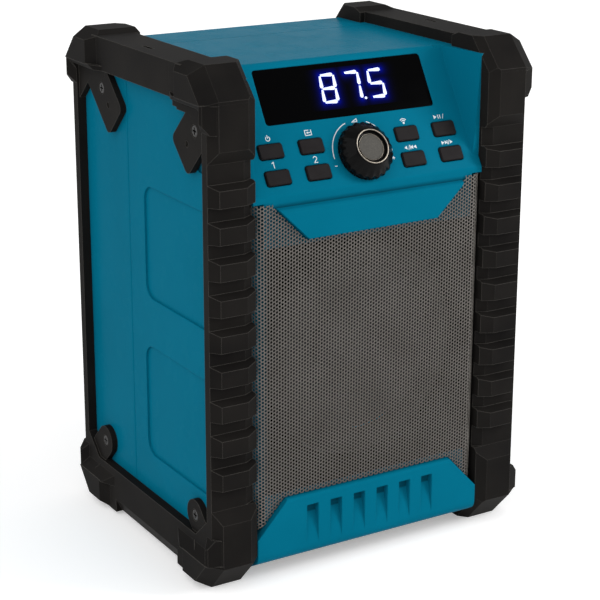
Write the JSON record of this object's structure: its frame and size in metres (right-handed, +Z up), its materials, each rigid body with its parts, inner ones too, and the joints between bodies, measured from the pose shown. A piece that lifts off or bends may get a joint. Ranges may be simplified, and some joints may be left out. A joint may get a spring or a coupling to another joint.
{
  "type": "jobsite radio",
  "caption": "Upright jobsite radio: glossy two-shell housing with a sloped control panel and front loudspeaker, held between two ribbed bumper frames.",
  "frame": {"origin": "on the ground under the centre of the bounding box", "axes": "+Z up, the front with grille and display faces -Y, +X to the right as seen from the front"},
  "size_m": [0.196, 0.1621, 0.27],
  "materials": {
    "teal_plastic": "glossy blue-green moulded plastic",
    "guard_plastic": "textured black moulded plastic",
    "dark_screw": "blackened steel",
    "grille_steel": "warm dark grey powder coat",
    "foam": "black foam rubber",
    "basket_steel": "dark painted steel",
    "cone_paper": "black pressed pulp",
    "copper_wire": "enamelled copper winding",
    "spider_cloth": "resin-stiffened cloth",
    "zinc_steel": "zinc-plated steel",
    "ferrite": "matt ferrite",
    "smoked_window": "smoked glossy window",
    "display_module": "black display housing",
    "circuit_board": "green solder resist",
    "component_black": "black moulded component",
    "button_plastic": "dark brown-black satin plastic",
    "knob_gloss": "glossy black",
    "knob_ring": "bright plated ring",
    "knob_disc": "matt warm grey",
    "heat_sink_metal": "bare extruded",
    "capacitor_sleeve": "dark blue sleeve",
    "battery_plastic": "charcoal plastic",
    "door_plastic": "textured black plastic",
    "soft_rubber": "soft black rubber",
    "antenna_sheath": "black flexible sheath"
  },
  "bodies": {
    "radio_body": {"front_housing": "teal_plastic", "rear_cover": "teal_plastic", "cover_screws": "dark_screw", "left_guard": "guard_plastic", "right_guard": "guard_plastic", "guard_screws": "dark_screw", "speaker_grille": "grille_steel", "speaker_gasket": "foam", "speaker_basket": "basket_steel", "speaker_surround": "foam", "speaker_spider": "spider_cloth", "speaker_top_plate": "zinc_steel", "speaker_magnet": "ferrite", "speaker_yoke": "zinc_steel", "speaker_screws": "zinc_steel", "display_window": "smoked_window", "led_display": "display_module", "control_board": "circuit_board", "tact_switches": "component_black", "encoder_body": "zinc_steel", "encoder_nut": "zinc_steel", "main_board": "circuit_board", "board_chips": "component_black", "heat_sink": "heat_sink_metal", "filter_capacitors": "capacitor_sleeve", "battery_terminal": "component_black", "battery_pack": "battery_plastic", "battery_tray": "door_plastic", "door_hinge_pin": "zinc_steel", "aux_socket": "component_black", "dc_socket": "component_black", "antenna_mount": "soft_rubber", "antenna_pin": "zinc_steel"},
    "volume_control": {"volume_knob": "knob_gloss", "knob_rim": "knob_ring", "knob_cap": "knob_disc", "encoder_shaft": "zinc_steel"},
    "speaker_motor": {"speaker_cone": "cone_paper", "speaker_dust_cap": "cone_paper", "voice_coil": "copper_wire"},
    "door": {"battery_door": "door_plastic"},
    "latch": {"door_latch": "door_plastic"},
    "socket_flap": {"socket_cover": "soft_rubber"},
    "antenna": {"antenna_rod": "antenna_sheath"},
    "power_key": {"button_power": "button_plastic"},
    "source_key": {"button_source": "button_plastic"},
    "preset_key": {"button_preset": "button_plastic"},
    "scan_key": {"button_scan": "button_plastic"},
    "pair_key": {"button_pair": "button_plastic"},
    "play_key": {"button_play": "button_plastic"},
    "previous_key": {"button_previous": "button_plastic"},
    "next_key": {"button_next": "button_plastic"}
  },
  "joints": [
    {"name": "power_press", "type": "slide", "parent": "radio_body", "child": "power_key", "axis": [0, 0.8563, -0.5165], "range_m": [0, 0.0008], "stiffness_N_per_m": 600, "springref_m": -0.0006},
    {"name": "source_press", "type": "slide", "parent": "radio_body", "child": "source_key", "axis": [0, 0.8563, -0.5165], "range_m": [0, 0.0008], "stiffness_N_per_m": 600, "springref_m": -0.0006},
    {"name": "preset_press", "type": "slide", "parent": "radio_body", "child": "preset_key", "axis": [0, 0.8563, -0.5165], "range_m": [0, 0.0008], "stiffness_N_per_m": 600, "springref_m": -0.0006},
    {"name": "scan_press", "type": "slide", "parent": "radio_body", "child": "scan_key", "axis": [0, 0.8563, -0.5165], "range_m": [0, 0.0008], "stiffness_N_per_m": 600, "springref_m": -0.0006},
    {"name": "pair_press", "type": "slide", "parent": "radio_body", "child": "pair_key", "axis": [0, 0.8563, -0.5165], "range_m": [0, 0.0008], "stiffness_N_per_m": 600, "springref_m": -0.0006},
    {"name": "play_press", "type": "slide", "parent": "radio_body", "child": "play_key", "axis": [0, 0.8563, -0.5165], "range_m": [0, 0.0008], "stiffness_N_per_m": 600, "springref_m": -0.0006},
    {"name": "previous_press", "type": "slide", "parent": "radio_body", "child": "previous_key", "axis": [0, 0.8563, -0.5165], "range_m": [0, 0.0008], "stiffness_N_per_m": 600, "springref_m": -0.0006},
    {"name": "next_press", "type": "slide", "parent": "radio_body", "child": "next_key", "axis": [0, 0.8563, -0.5165], "range_m": [0, 0.0008], "stiffness_N_per_m": 600, "springref_m": -0.0006},
    {"name": "volume_turn", "type": "hinge", "parent": "radio_body", "child": "volume_control", "pos_m": [0, -0.0658, 0.21717], "axis": [0, -0.8563, 0.5165], "continuous": true},
    {"name": "speaker_stroke", "type": "slide", "parent": "radio_body", "child": "speaker_motor", "axis": [0, 1, 0], "range_m": [-0.0015, 0.0015], "stiffness_N_per_m": 1500},
    {"name": "door_swing", "type": "hinge", "parent": "radio_body", "child": "door", "pos_m": [-0.0496, 0.0738, 0.085], "axis": [0, 0, 1], "range_deg": [0, 110]},
    {"name": "latch_slide", "type": "slide", "parent": "door", "child": "latch", "axis": [1, 0, 0], "range_m": [0, 0.004]},
    {"name": "flap_open", "type": "hinge", "parent": "radio_body", "child": "socket_flap", "pos_m": [0.0605, 0.0693, 0.1618], "axis": [-1, 0, 0], "range_deg": [0, 100]},
    {"name": "antenna_fold", "type": "hinge", "parent": "radio_body", "child": "antenna", "pos_m": [0.058, 0.0742, 0.236], "axis": [0, 1, 0], "range_deg": [0, 90]}
  ]
}
